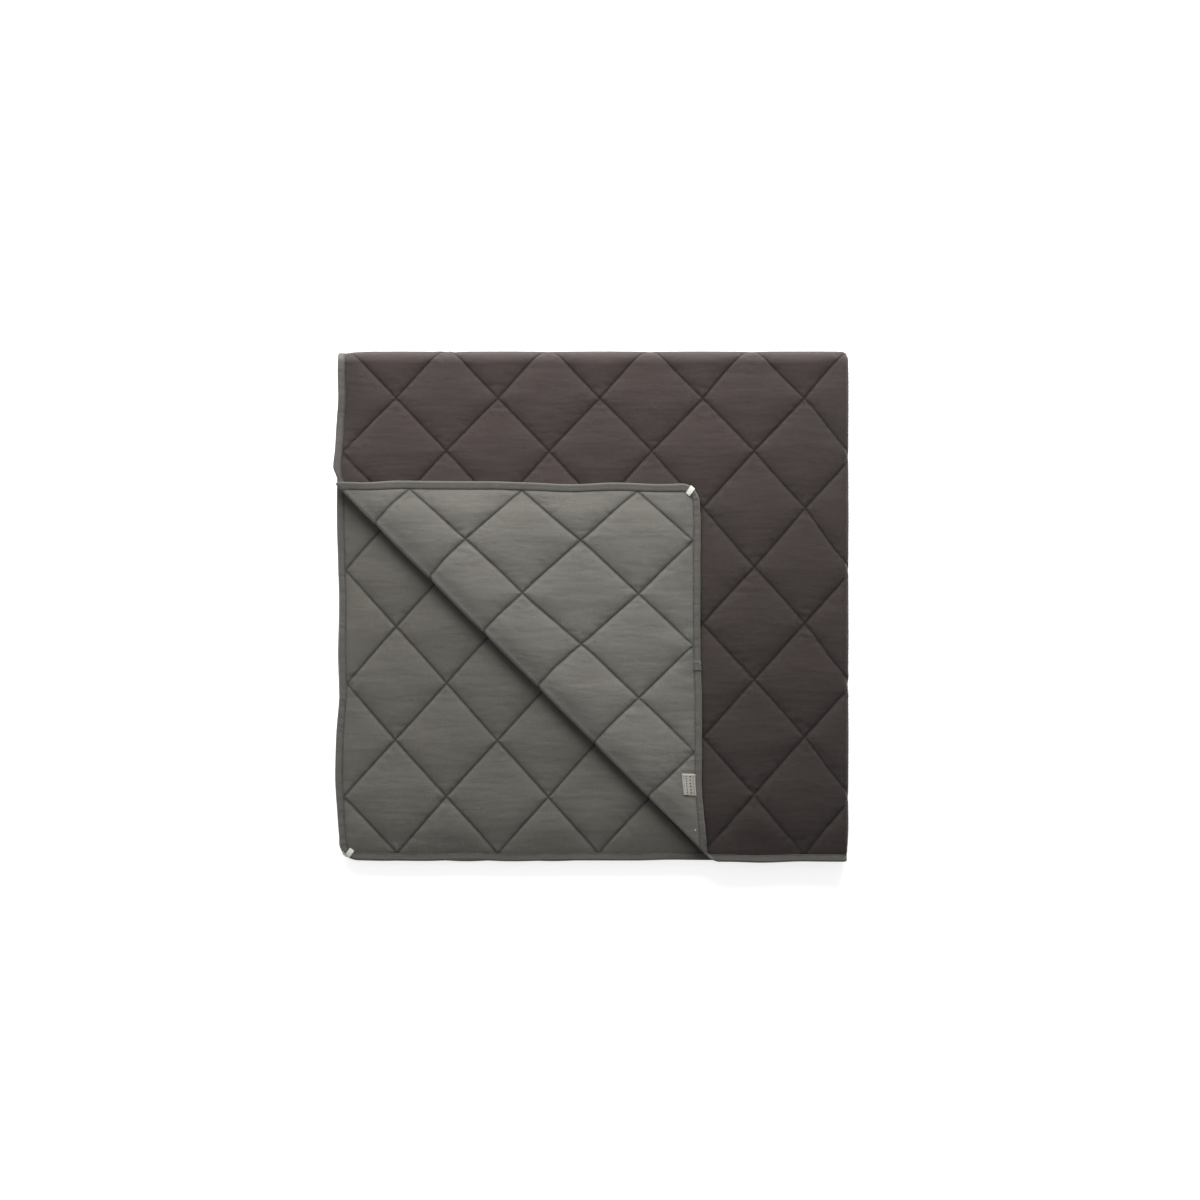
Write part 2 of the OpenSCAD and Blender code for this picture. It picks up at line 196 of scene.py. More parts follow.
def simulate(seed):
    """Heights on a grid of cloth that is held along the quilting lines and puffed up between."""
    rng = np.random.default_rng(seed)
    nx, ny = COLS * CELLS + 1, ROWS * CELLS + 1
    i, j = np.meshgrid(np.arange(nx), np.arange(ny), indexing="ij")
    x, y = i / CELLS * QX / SIM_UNITS, j / CELLS * QY / SIM_UNITS
    held = ((i + j) % (2 * CELLS) == CELLS) | ((i - j) % (2 * CELLS) == CELLS)
    held |= (i == 0) | (j == 0) | (i == nx - 1) | (j == ny - 1)
    z = np.where(held, 0, 0.01 + rng.normal(size=(nx, ny)) * 0.004)
    points = np.stack([x, y, z], -1).reshape(-1, 3)
    index = i * ny + j
    a, b = index[:-1, :-1].ravel(), index[1:, :-1].ravel()
    c, d = index[1:, 1:].ravel(), index[:-1, 1:].ravel()
    even = ((i + j)[:-1, :-1] % 2 == 0).ravel()[:, None]
    faces = np.concatenate([
        np.where(even, np.stack([a, b, c], 1), np.stack([a, b, d], 1)),
        np.where(even, np.stack([a, c, d], 1), np.stack([b, c, d], 1)),
    ])
    mesh = bpy.data.meshes.new("held_cloth")
    mesh.from_pydata(points.tolist(), [], faces.tolist())
    sheet = bpy.data.objects.new("held_cloth", mesh)
    scene.collection.objects.link(sheet)
    sheet.vertex_groups.new(name="held").add(np.nonzero(held.ravel())[0].tolist(), 1, "REPLACE")
    modifier = sheet.modifiers.new("Cloth", "CLOTH")
    s = modifier.settings
    s.vertex_group_mass = "held"
    s.quality, s.mass, s.air_damping = 5, 0.3, 1
    s.tension_stiffness = s.compression_stiffness = 15
    s.shear_stiffness, s.bending_stiffness = 5, 0.05
    s.tension_damping = s.compression_damping = s.shear_damping = 5
    s.bending_damping = 0.5
    s.use_pressure, s.uniform_pressure_force = True, 10
    s.shrink_min = s.shrink_max = -0.02
    s.effector_weights.gravity = 0
    modifier.collision_settings.use_collision = False
    modifier.collision_settings.use_self_collision = False
    modifier.point_cache.frame_start, modifier.point_cache.frame_end = 1, SIM_FRAMES
    for step in range(1, SIM_FRAMES + 1):
        scene.frame_set(step)
    done = sheet.evaluated_get(bpy.context.evaluated_depsgraph_get())
    co = np.empty(nx * ny * 3, np.float32)
    done.data.vertices.foreach_get("co", co)
    bpy.data.objects.remove(sheet)
    bpy.data.meshes.remove(mesh)
    scene.frame_set(1)
    puffs = co.reshape(nx, ny, 3)[..., 2].astype(float)
    return puffs / np.percentile(puffs, 97)


make_field = simulate
FIELDS = [make_field(3), make_field(8)]  # the face cloth and the lining


def field_at(field, c, r):
    """The field between its points, straight along the stitch lines."""
    x = np.clip(c * CELLS, 0, field.shape[0] - 1.001)
    y = np.clip(r * CELLS, 0, field.shape[1] - 1.001)
    i, j = x.astype(int), y.astype(int)
    f, g = x - i, y - j
    a, b, d, e = field[i, j], field[i + 1, j], field[i, j + 1], field[i + 1, j + 1]
    rising = np.where(f >= g, a + (b - a) * f + (e - b) * g, a + (d - a) * g + (e - d) * f)
    falling = np.where(f + g <= 1, a + (b - a) * f + (d - a) * g,
                       e + (d - e) * (1 - f) + (b - e) * (1 - g))
    return np.where((i + j) % 2 == 0, rising, falling)


def quarter(xe, ye):
    """Which layer a point of the open blanket is in, and where in its quarter."""
    layer = np.where(ye <= Y9, np.where(xe <= X10, 1, 2), np.where(xe <= X10, 4, 3))
    return layer, np.minimum(xe, 2 * X10 - xe), np.minimum(ye, 2 * Y9 - ye)


def edge_distance(x, y):
    """Distance in from the blanket's free edges, with their rounded corner."""
    dx, dy = x + HALF, y + HALF
    corner = (dx < CORNER_R) & (dy < CORNER_R)
    return np.where(corner, CORNER_R - np.hypot(CORNER_R - dx, CORNER_R - dy),
                    np.minimum(dx, dy))


def stitch_gap(across):
    """Distance from the nearest stitch line, where across is u or v."""
    return np.abs(across % 2 - 1) * LINE_GAP


def puff_at(side, layer, c, r):
    """The cloth's puff. Each layer has its own, but it is unbroken round the folds."""
    field = FIELDS[side]
    through = field_at(field, c, r)
    own = through
    for k, (cc, rr) in {2: (10 - c, r), 3: (c, 10 - r), 4: (10 - c, 10 - r)}.items():
        own = np.where(layer == k, field_at(field, cc, rr), own)
    near_fold = np.maximum(smooth((c - 8.7) / 1.0), smooth((r - 7.5) / 1.0))
    return np.clip(own + (through - own) * near_fold, 0, 1.15)


GATHER_REACH = 9  # how far from a seam the gathers run
LINE_GATHER, EDGE_GATHER = 6.0, 4.6  # how long a gather is, at a stitch line and at the binding


def gathers(side, layer, c, r, x, y):
    """The small waves that run out from the stitch lines and in from the binding."""
    total = np.zeros_like(c)
    spots = 0.28 + 0.75 * smooth(noise2(c * 1.7 + 9, r * 1.7 + 9, 41 + side) * 2.2)
    u, v = c + r, c - r
    for along, across in ((v, u), (u, v)):
        gap = stitch_gap(across)
        line = np.floor(across / 2 + 0.5)
        wave = noise1(along * LINE_GAP / LINE_GATHER + line * 41.7 + 300, 11 + side)
        total += spots * np.exp(-gap / GATHER_REACH) * (1 - np.exp(-gap / 1.6)) * wave
    for along, across in ((x, y), (y, x)):
        gap = np.maximum(across - START, 0)
        wave = noise1(along / EDGE_GATHER + 200 + layer * 31, 17 + side)
        total += 0.95 * np.exp(-gap / GATHER_REACH) * (1 - np.exp(-gap / 1.5)) * wave
    return total


def heights(side, xe, ye):
    """Height of a side's cloth out from the layer's middle, how light the painted shade leaves it,
    from 0 at a stitch line to about 1, and how far it crowns."""
    layer, x, y = quarter(xe, ye)
    c, r = (x - START) / QX, (y - START) / QY
    puff = puff_at(side, layer, c, r)
    inside = edge_distance(x, y) - BIND
    away = np.minimum(stitch_gap(c + r), stitch_gap(c - r))
    slack = 0.35 * noise2(x / 38 + 20, y / 26 + 20, 31 + side)
    # The cloth rises steeply from a stitch line and then crowns gently. Round a fold it is taut.
    taut = 0.75 * np.maximum(smooth((x - SIDE_X + 12) / 18), smooth((y - END_Y + 12) / 22))
    steep = 1 - np.exp(-away / 3.2)
    crown = puff ** 0.85
    shape = 0.40 * steep + 0.60 * crown
    shape = shape + (0.72 + 0.28 * (1 - np.exp(-away / 2.5)) - shape) * taut
    full = 0.55 + 0.45 * smooth(inside / 40)
    h = (STITCH_H + (FULL_H + 0.1 - STITCH_H + slack * (1 - taut)) * full * shape
         + gathers(side, layer, c, r, x, y))
    # It is pressed flat where it goes under the binding.
    h = 1.05 + (h - 1.05) * smooth((inside + 1.2) / 4.0)
    cap = np.where((layer == 4) & (side == 0), LOFT / 2 - 0.03, FULL_H + 0.35)
    # Painted shade: darker along the stitch lines and where the cloth goes under the binding, a
    # little lighter where it puffs most.
    shade = (1 - np.exp(-away / 2.8)) * (0.25 + 0.75 * smooth((inside + 0.5) / 3))
    return np.minimum(np.maximum(h, 0.8), cap), shade * (0.85 + 0.2 * puff), crown * full


# ---- Folding the open blanket ----

DROOP = {1: 5.2, 2: 4.0, 3: 2.6, 4: 1.2}  # how far a free edge sinks, layer by layer
FLAP_DROOP = 2.6
DROOP_WIDTH = 85  # how far in from a free edge the cloth begins to sink
NEAR_FOLD = 110  # how far from a fold the free edge no longer is held up by it
SETTLED = 80  # how far from the crease the cloth lies as it does elsewhere
ROW_SHIFT = [0, 3.7, 5.4, 5.5, 5.0, 4.3, 7.5, 7.5, 1.9, 0]  # how the top layer's rows have crept
# Where a left edge bulges out: layer, place along it, how far, and half its length.
BULGES = [(2, -250, 4.0, 70), (2, -372, -3.0, 30), (2, 120, 1.5, 60)]
TOP_BULGE_Y, TOP_BULGE, TOP_BULGE_REACH = 203, 6.5, 30  # just behind the crease's end
# The turned corner lies a little untrue: how far it is shifted and turned, and how its top edge,
# its right edge and its rows have crept, each against the distance in from the other edge.
FLAP_SHIFT_X, FLAP_SHIFT_Y = -16.0, 7.0
FLAP_TURN_X, FLAP_TURN_Y = 0.004, 0.0087
FLAP_AT = [0, 11, 90, 168, 248, 326, 406, 484]
FLAP_X = [0, 0.5, 7.0, 9.5, 6.0, 6.0, 7.3, 7.5]
FLAP_Y = [0, -0.5, 2.6, -1.2, -0.5, -3.7, -8.4, -9.3]
NO_CREASE = 1e3  # stands for the distance from the crease where a layer has none


def waves(layer, x, y):
    """How far the cloth is off its true place: its edges wave, and its rows have crept."""
    wx, wy = np.zeros_like(x), np.zeros_like(x)
    for k in (1, 2, 3, 4):
        on = layer == k
        if not on.any():
            continue
        at_x, at_y = x[on], y[on]
        wx[on] = noise2(at_x / 85 + 20, at_y / 85 + 20, 50 + k)
        wy[on] = noise2(at_x / 85 + 20, at_y / 85 + 20, 60 + k)
        wx[on] += 1.7 * noise1(at_y / 62 + 90, 70 + k) * np.exp(-(at_x + HALF) / 60)
        wy[on] += 1.7 * noise1(at_x / 62 + 90, 80 + k) * np.exp(-(at_y + HALF) / 60)
    first = layer == 1
    rows = np.interp((y - START) / QY, range(len(ROW_SHIFT)), ROW_SHIFT)
    wx += np.where(first, 0.5 * (x - START) / QX, 0)
    wy += np.where(first, rows, 0)
    for k, at, size, reach in BULGES:
        wx -= np.where(layer == k, size * np.exp(-((y - at) / reach) ** 2 - (x + HALF) / 70), 0)
    return wx, wy


def sinking(layer, turned, x, y, from_crease):
    """How far the cloth sinks towards the layer below, near its free edges."""
    left = (1 - smooth((x + HALF) / DROOP_WIDTH)) ** 2 * smooth((END_Y - y) / NEAR_FOLD)
    front = (1 - smooth((y + HALF) / DROOP_WIDTH)) ** 2 * smooth((SIDE_X - x) / NEAR_FOLD)
    settled = smooth(from_crease / SETTLED)
    top = FLAP_DROOP + np.where(turned, 0, (DROOP[1] - FLAP_DROOP) * settled)
    depth = np.select([layer == k for k in (2, 3, 4)], [DROOP[k] for k in (2, 3, 4)], top)
    return (1 - (1 - left) * (1 - front)) * depth * settled


def round_folds(layer, up, x, y, z, g):
    """Bends the layers round the side folds, and then both halves round the end fold."""
    turn = (x - SIDE_X) / (X10 - SIDE_X) * math.pi / 2
    centre = np.where(layer <= 2, MIDDLE[2] + PITCH / 2, MIDDLE[4] + PITCH / 2)
    radius = PITCH / 2 + g
    over = x > SIDE_X
    fx = np.where(over, SIDE_X + radius * np.sin(turn), x)
    fz = np.where(over, centre + up * radius * np.cos(turn), z)
    turn = (y - END_Y) / (Y9 - END_Y) * math.pi / 2
    radius = np.abs(fz - HINGE_Z)
    way = np.where(layer <= 2, 1, -1)
    over = y > END_Y
    fy = np.where(over, END_Y + radius * np.sin(turn), y)
    fz = np.where(over, HINGE_Z + way * radius * np.cos(turn), fz)
    return np.stack([fx, fy, fz], -1)


def over_crease(flap, total, x, y, g, sink, from_crease):
    """Rolls the corner over the crease. p is the distance across the crease and q along it."""
    turn = (CREASE_SUM - total) / (CREASE_SUM - FLAP_SUM) * math.pi
    radius = (MIDDLE[0] - MIDDLE[1] + CREASE_LIFT) / 2 - g
    arch = 1 - np.exp(-(from_crease / 15) ** 1.35)
    lift = (CREASE_LIFT + CREASE_ARCH * arch) * (1 - smooth((from_crease - 30) / 110))
    p = np.where(flap, (FLAP_SUM - (x + y)) / ROOT2, -radius * np.sin(turn))
    q = (x - y) / ROOT2
    tx, ty = TIP - HALF - y, TIP - HALF - x  # where the point would lie on the true flap
    dx = FLAP_TURN_X * (TIP - 17 - ty) + FLAP_SHIFT_X + np.interp(y + HALF, FLAP_AT, FLAP_X)
    dy = FLAP_TURN_Y * (TIP - 30 - tx) + FLAP_SHIFT_Y + np.interp(x + HALF, FLAP_AT, FLAP_Y)
    q = q + (dx - dy) / ROOT2 * np.clip(np.where(flap, 1, turn / math.pi), 0, 1)
    p = p + np.where(flap, (dx + dy) / ROOT2 * smooth(from_crease / SETTLED), 0)
    z = np.where(flap, MIDDLE[0] - sink + lift - g,
                 CREASE_Z + CREASE_LIFT / 2 - radius * np.cos(turn))
    return np.stack([CREASE_X + (p + q) / ROOT2, CREASE_X + (p - q) / ROOT2, z], -1)


def fold(xe, ye, g):
    """Puts points of the open blanket in their place, in metres."""
    xe, ye, g = (np.asarray(a, float) for a in np.broadcast_arrays(xe, ye, g))
    layer, x, y = quarter(xe, ye)
    total = x + y
    first = layer == 1
    flap = first & (total < FLAP_SUM)
    roll = first & ~flap & (total < CREASE_SUM)
    turned = flap | roll
    from_crease = np.where(flap, FLAP_SUM - total, total - CREASE_SUM) / ROOT2
    from_crease = np.where(roll, 0, np.where(first, from_crease, NO_CREASE))
    # The waves die out at the folds and at the crease.
    calm = smooth((SIDE_X - x) / 70) * smooth((END_Y - y) / 70) * smooth(from_crease / 40)
    wx, wy = waves(layer, x, y)
    x, y = x + wx * calm, y + wy * calm
    bulge = TOP_BULGE * np.exp(-((y - TOP_BULGE_Y) / TOP_BULGE_REACH) ** 2 - (x + HALF) / 60)
    x = x - np.where(first & ~turned, bulge * smooth(from_crease / 14), 0)
    sink = sinking(layer, turned, x, y, from_crease)
    # The quilt is pressed thin at the crease, and the second layer is pressed by the roll.
    g = g * (1 - (1 - CREASE_THIN) * np.exp(-(from_crease / 24) ** 1.5))
    hollow = np.exp(-(((x + y - CREASE_SUM) / ROOT2 + 6) / 24) ** 2)
    g = np.where(layer == 2, g * (1 - 0.38 * hollow), g)
    up = np.where((layer == 1) | (layer == 3), 1, -1)
    middle = np.select([layer == k for k in (1, 2, 3, 4)], [MIDDLE[k] for k in (1, 2, 3, 4)])
    bent = round_folds(layer, up, x, y, middle - sink + up * g, g)
    rolled = over_crease(flap, total, x, y, g, sink, from_crease)
    return np.where(turned[..., None], rolled, bent) * MM


# ---- Meshes on the open blanket ----

# Regions: planes (point, normal) that keep the side their normal points to.
END_FAR_Y = 2 * Y9 - END_Y  # where the end fold ends, on the lower half
UPPER = [((0, END_Y), (0, -1)), ((CREASE_X, CREASE_X), (1, 1))]
LOWER = [((0, END_FAR_Y), (0, 1))]
END = [((0, END_Y), (0, 1)), ((0, END_FAR_Y), (0, -1))]
FLAP = [((FLAP_SUM / 2, FLAP_SUM / 2), (-1, -1))]
ROLL = [((FLAP_SUM / 2, FLAP_SUM / 2), (1, 1)), ((CREASE_X, CREASE_X), (-1, -1))]
LEFT_OF_FOLD, RIGHT_OF_FOLD = [((X10, 0), (-1, 0))], [((X10, 0), (1, 0))]
BEHIND_TIP, BEFORE_TIP = [((0, 0), (-1, 1))], [((0, 0), (1, -1))]
# Extra edges where the cloth bends.
END_CUTS = [((0, END_Y + 3.2 * i), (0, 1)) for i in range(1, 20)]
ROLL_CUTS = [((a, a), (1, 1)) for a in np.linspace(FLAP_SUM / 2, CREASE_X, 17)[1:-1]]
SIDE_CUTS = [((X10 + d, 0), (1, 0)) for d in (-14.9, -11.2, -7.4, -3.7, 3.7, 7.4, 11.2, 14.9)]
SPARE = 30  # how far outside a region its mesh is kept until it is cut exactly


def inside(planes, x, y, spare=0):
    """Which points are inside all the planes, or less than a spare distance outside."""
    keep = np.ones(len(x), bool)
    for (px, py), (nx, ny) in planes:
        keep &= (x - px) * nx + (y - py) * ny > -spare
    return keep


def cut_mesh(points, faces, planes, cuts=()):
    """The part of a flat mesh inside the planes, with extra edges along the cuts."""
    points = np.asarray(points, float)
    mesh = bpy.data.meshes.new("flat")
    if isinstance(faces, np.ndarray):
        faces = faces[inside(planes, *points[:, :2].T, SPARE)[faces].all(1)]
        used, back = np.unique(faces, return_inverse=True)
        points, faces = points[used], back.reshape(faces.shape).tolist()
    mesh.from_pydata(points.tolist(), [], faces)
    bm = bmesh.new()
    bm.from_mesh(mesh)
    bpy.data.meshes.remove(mesh)
    for group, clear in ((planes, True), (cuts, False)):
        for (px, py), (nx, ny) in group:
            bmesh.ops.bisect_plane(bm, geom=bm.verts[:] + bm.edges[:] + bm.faces[:], dist=1e-4,
                                   plane_co=(px, py, 0), plane_no=(nx, ny, 0),
                                   clear_inner=clear)
    bm.verts.index_update()
    out = np.array([v.co[:] for v in bm.verts], float).reshape(-1, 3)
    polygons = [[v.index for v in f.verts] for f in bm.faces]
    bm.free()
    return out, polygons


def rounded(margin):
    """Planes that keep the open blanket in from its outer edge by a margin."""
    planes = [((-HALF + margin, 0), (1, 0)), ((OPEN_X - margin, 0), (-1, 0)),
              ((0, -HALF + margin), (0, 1)), ((0, OPEN_Y - margin), (0, -1))]
    for cx, sx in ((-HALF + CORNER_R, -1), (OPEN_X - CORNER_R, 1)):
        for cy, sy in ((-HALF + CORNER_R, -1), (OPEN_Y - CORNER_R, 1)):
            for a in np.radians(np.arange(10, 90, 10)):
                d = (sx * math.cos(a), sy * math.sin(a))
                r = CORNER_R - margin
                planes.append(((cx + r * d[0], cy + r * d[1]), (-d[0], -d[1])))
    return planes


# Where the grid's lines run between two stitch lines: close together near the stitches.
STEPS = np.array([0, 0.9, 2.1, 3.7, 5.8, 8.6, 12.2, 16.4, 20.8, 25.3, 29.8, 34.2, 38.6, 42.9,
                  47.1, 51.3]) / LINE_GAP


def quilt_grid(x0, x1, y0, y1):
    """A grid along the quilting's diamonds, finest at their stitch lines."""
    c0, c1 = (x0 - START) / QX - 0.2, (x1 - START) / QX + 0.2
    r0, r1 = (y0 - START) / QY - 0.2, (y1 - START) / QY + 0.2

    def lines(a, b):
        first, last = math.floor((a - 1) / 2) * 2 + 1, math.ceil((b + 1) / 2) * 2 + 1
        out = [k + s for k in range(first, last, 2)
               for s in [*STEPS, 1.0, *(2 - STEPS[:0:-1])]]
        return np.array([t for t in out if a - 0.3 <= t <= b + 0.3])

    u, v = lines(c0 + r0, c1 + r1), lines(c0 - r1, c1 - r0)
    uu, vv = np.meshgrid(u, v, indexing="ij")
    c, r = (uu + vv) / 2, (uu - vv) / 2
    index = np.arange(c.size).reshape(c.shape)
    inside = (c >= c0) & (c <= c1) & (r >= r0) & (r <= r1)
    quads = grid_quads(index)
    quads = quads[inside.ravel()[quads].all(1)]
    points = np.stack([START + QX * c, START + QY * r, np.zeros_like(c)], -1).reshape(-1, 3)
    return points, quads


def grid_quads(index):
    """The faces between the points of a grid, from the grid of their numbers."""
    return np.stack([index[:-1, :-1], index[:-1, 1:], index[1:, 1:], index[1:, :-1]],
                    -1).reshape(-1, 4)


pieces = {}  # every visible piece, by its name


def new_object(name, points, faces, material, flat=None, painted_light=0.5):
    """A piece, from points on the open blanket. flat is its place on the cloth, for the weave, and
    the last argument how light the painted shade leaves its hollows."""
    flat = (points if flat is None else flat) * MM
    mesh = bpy.data.meshes.new(name)
    mesh.from_pydata(fold(*points.T).tolist(), [], faces)
    mesh.polygons.foreach_set("use_smooth", np.ones(len(mesh.polygons), bool))
    layer = mesh.attributes.new("cloth", "FLOAT_VECTOR", "POINT")
    layer.data.foreach_set("vector", np.asarray(flat, np.float32).ravel())
    layer = mesh.attributes.new("painted_light", "FLOAT", "POINT")
    layer.data.foreach_set("value", np.full(len(points), painted_light, np.float32))
    mesh.materials.append(material)
    pieces[name] = bpy.data.objects.new(name, mesh)
    scene.collection.objects.link(pieces[name])
    return pieces[name]


# ---- Materials ----


def fabric(name, colour, other, sheen=0.35, weave=0.6, bump=0.00022, wrinkle=0.0004, dark=1.0,
           rough=0.86, corner_shade=0.0, puffed=0.0):
    """A plain weave with thick and thin yarns, faint wrinkles and patches of another tint, with
    painted shade in its hollows and in one corner and a faint painted highlight on its crowns.
    dark is how dark the painted shade in the hollows is, and the share given after rough how much
    painted shade darkens one corner. weave is in millimetres, and bump, wrinkle and puffed are the
    heights of the relief, in metres."""
    mat = bpy.data.materials.new(name)
    mat.use_nodes = True
    tree = mat.node_tree
    shader = tree.nodes["Principled BSDF"]
    set_inputs(shader, Roughness=rough, Sheen_Weight=sheen, Sheen_Roughness=0.45,
               Specular_IOR_Level=0.22)

    def node(kind, **values):
        n = tree.nodes.new("ShaderNode" + kind)
        for key, value in values.items():
            setattr(n, key, value)
        return n

    def link(a, b):
        tree.links.new(a, b)

    def calc(operation, a, b=None):
        n = node("Math", operation=operation)
        for socket, value in zip(n.inputs, (a, b)):
            if isinstance(value, (int, float)):
                socket.default_value = value
            elif value is not None:
                link(value, socket)
        return n.outputs[0]

    def noise(vector, scale, detail=2.0, stretch=None):
        if stretch:
            mapping = node("Mapping")
            set_inputs(mapping, Scale=stretch)
            link(vector, mapping.inputs["Vector"])
            vector = mapping.outputs[0]
        n = node("TexNoise")
        set_inputs(n, Scale=scale, Detail=detail, Roughness=0.5)
        link(vector, n.inputs["Vector"])
        return n.outputs["Fac"]

    def spread(value, *limits):
        """From the first two limits to the last two."""
        n = node("MapRange")
        for socket, limit in zip(n.inputs[1:5], limits):
            socket.default_value = limit
        link(value, n.inputs["Value"])
        return n.outputs["Result"]

    def relief(height, strength, distance, below=None):
        n = node("Bump")
        set_inputs(n, Strength=strength, Distance=distance)
        link(height, n.inputs["Height"])
        if below:
            link(below, n.inputs["Normal"])
        return n.outputs["Normal"]

    flat = node("Attribute", attribute_name="cloth").outputs["Vector"]
    painted_light = node("Attribute", attribute_name="painted_light").outputs["Fac"]
    split = node("SeparateXYZ")
    link(flat, split.inputs[0])
    # The tint, with painted shade and a painted highlight.
    mix = node("Mix", data_type="RGBA")
    set_inputs(mix, A=(*colour, 1), B=(*other, 1))
    link(spread(noise(flat, 6.0), 0.25, 0.75, 0, 1), mix.inputs["Factor"])
    yarn_x = noise(flat, 1.0, stretch=(55, 1500, 1))
    yarn_y = noise(flat, 1.0, stretch=(1500, 55, 1))
    yarns = spread(calc("ADD", yarn_x, yarn_y), 0.6, 1.4, 0.90, 1.10)
    broad = spread(noise(flat, 1.0, detail=3.0, stretch=(16, 30, 1)), 0.3, 0.7, 0.95, 1.05)
    # Painted shade darkens the stitch lines' hollows down to dark; a painted highlight lightens
    # the crowns by up to 4%.
    hollow = spread(painted_light, 0.0, 0.6, dark, 1.0)
    crown = spread(painted_light, 0.85, 1.05, 1.0, 1.04)
    shade = calc("MULTIPLY", calc("MULTIPLY", yarns, broad), calc("MULTIPLY", hollow, crown))
    # Painted shade: the colour darkens towards large x and small y on the open cloth, the bottom
    # right of the top layer.
    if corner_shade:
        corner = calc("SUBTRACT", split.outputs[0], split.outputs[1])
        shade = calc("MULTIPLY", shade, spread(corner, -0.1, 0.75, 1.0, 1.0 - corner_shade))
    grey = node("CombineColor")
    for socket in grey.inputs[:3]:
        link(shade, socket)
    tint = node("Mix", data_type="RGBA", blend_type="MULTIPLY")
    set_inputs(tint, Factor=1)
    link(mix.outputs["Result"], tint.inputs["A"])
    link(grey.outputs[0], tint.inputs["B"])
    link(tint.outputs["Result"], shader.inputs["Base Color"])
    # The relief: the weave and its yarns, the wrinkles, and the puff.
    turns = 2 * math.pi / (weave * MM)
    warp = calc("SINE", calc("MULTIPLY", split.outputs[0], turns))
    weft = calc("SINE", calc("MULTIPLY", split.outputs[1], turns))
    threads = calc("ADD", calc("MULTIPLY", warp, weft), calc("MULTIPLY", yarns, 1.5))
    folds = noise(flat, 1.0, stretch=(9, 40, 1))
    loose = noise(flat, 1.0, stretch=(30, 110, 1))
    normal = relief(threads, 0.5, bump)
    normal = relief(calc("ADD", folds, calc("MULTIPLY", loose, 0.32)), 1.0, wrinkle, normal)
    if puffed:
        normal = relief(split.outputs[2], 1.0, puffed, normal)
    link(normal, shader.inputs["Normal"])
    return mat


FACE = fabric("Face_cloth", (0.0415, 0.0306, 0.0294), (0.0372, 0.0290, 0.0270), sheen=0.2,
              wrinkle=0.0018, dark=0.36, corner_shade=0.38, puffed=1.0)
LINING = fabric("Lining", (0.097, 0.0915, 0.0810), (0.089, 0.0855, 0.0750), sheen=0.25,
                wrinkle=0.0017, dark=0.32, puffed=0.9)
# The same cloth as it lies on the turned-back corner, with its warp turned, and its colour painted
# lighter: painted light.
LINING_PAINTED_LIGHTER = fabric("Lining_painted_lighter", (0.122, 0.117, 0.106), (0.113, 0.110, 0.098),
                       sheen=0.25, wrinkle=0.0020, dark=0.30, puffed=0.9)
# Painted shade at the tape's inner edge takes its colour down to half.
TAPE_LOOK = dict(weave=0.9, bump=0.0003, wrinkle=0.0008, dark=0.5)
TAPE = fabric("Binding_tape", (0.092, 0.087, 0.078), (0.082, 0.078, 0.070), **TAPE_LOOK)
TAPE_TURNED = fabric("Binding_tape_turned", (0.092, 0.088, 0.079), (0.083, 0.079, 0.071),
                     **TAPE_LOOK)
# The threads are darker than their cloth: partly their own colour, partly painted shade for the
# stitch lines' creases.
THREAD_LOOK = dict(weave=0.4, sheen=0.1, rough=0.6)
FACE_THREAD = fabric("Face_thread", (0.014, 0.011, 0.0105), (0.018, 0.014, 0.013), **THREAD_LOOK)
LINING_THREAD = fabric("Lining_thread", (0.032, 0.030, 0.027), (0.040, 0.038, 0.034),
                       **THREAD_LOOK)
LOOP = fabric("Loop_tape", (0.62, 0.61, 0.57), (0.54, 0.53, 0.49), weave=0.9, bump=0.0004,
              wrinkle=0.0005)
LABEL = fabric("Label", (0.335, 0.325, 0.29), (0.30, 0.29, 0.26), weave=0.5, bump=0.0003,
               wrinkle=0.0006)

# ---- Floor, in metres ----

FLOOR_REACH, FLOOR_Z = 40, -0.0004
floor_mat = bpy.data.materials.new("Floor")
floor_mat.use_nodes = True
# It glows a little, so that hardly any shadow is left on it.
set_inputs(floor_mat.node_tree.nodes["Principled BSDF"], Base_Color=(0.93, 0.93, 0.93, 1),
           Roughness=0.9, Emission_Color=(1, 1, 1, 1), Emission_Strength=0.62)
floor_mesh = bpy.data.meshes.new("Floor")
floor_mesh.from_pydata([(sx * FLOOR_REACH, sy * FLOOR_REACH, FLOOR_Z)
                        for sx, sy in ((-1, -1), (1, -1), (1, 1), (-1, 1))], [], [(0, 1, 2, 3)])
floor_mesh.materials.append(floor_mat)
floor = bpy.data.objects.new("Floor", floor_mesh)
scene.collection.objects.link(floor)

# ---- Cloth ----

CLOTH_MARGIN = BIND - 4  # the cloth reaches a little way in under the binding
CROWN_SCALE = 3.5  # millimetres of relief from a stitch line to a crown, for the material
FLAP_REACH, ROLL_REACH = 180, 190  # how far the turned corner's grids reach on the top layer


def cloth(name, side, mesh, swap=False, keep=()):
    """One side's cloth. swap turns its weave a quarter and gives its lining the copy painted
    lighter, and keep cuts the flat mesh further.
    """
    points, faces = cut_mesh(*mesh, keep) if keep else mesh
    xe, ye = points[:, 0], points[:, 1]
    h, painted_light, crown = heights(side, xe, ye)
    points = np.column_stack([xe, ye, h if side == 0 else -h])
    if side == 1:
        faces = [f[::-1] for f in faces]
    relief = CROWN_SCALE * crown
    flat = np.column_stack([ye, xe, relief] if swap else [xe, ye, relief])
    # The turned corner's lining takes the copy painted lighter: painted light.
    lining = LINING_PAINTED_LIGHTER if swap else LINING
    return new_object(name, points, faces, lining if side else FACE, flat, painted_light)


